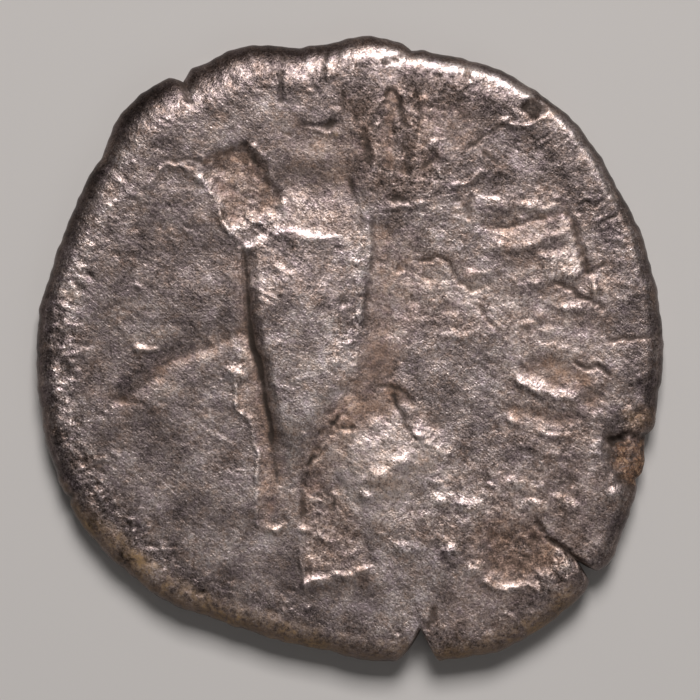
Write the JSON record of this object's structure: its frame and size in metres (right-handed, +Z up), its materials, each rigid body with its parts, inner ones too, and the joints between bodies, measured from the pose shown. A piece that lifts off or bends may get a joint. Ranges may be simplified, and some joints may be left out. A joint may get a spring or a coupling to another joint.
{
  "type": "silver coin",
  "caption": "Worn hand-struck silver coin with an irregular cracked rim, a faint draped standing figure and shallow strokes in low relief.",
  "frame": {"origin": "on the table, under the middle of the coin's box", "axes": "+Z up out of the pictured face, +Y towards the top of the picture, +X to its right"},
  "size_m": [0.018, 0.018, 0.0016],
  "materials": {
    "silver": "worn toned silver, satin, with brown dirt in the recesses"
  },
  "bodies": {
    "root": {"coin": "silver"}
  },
  "joints": []
}
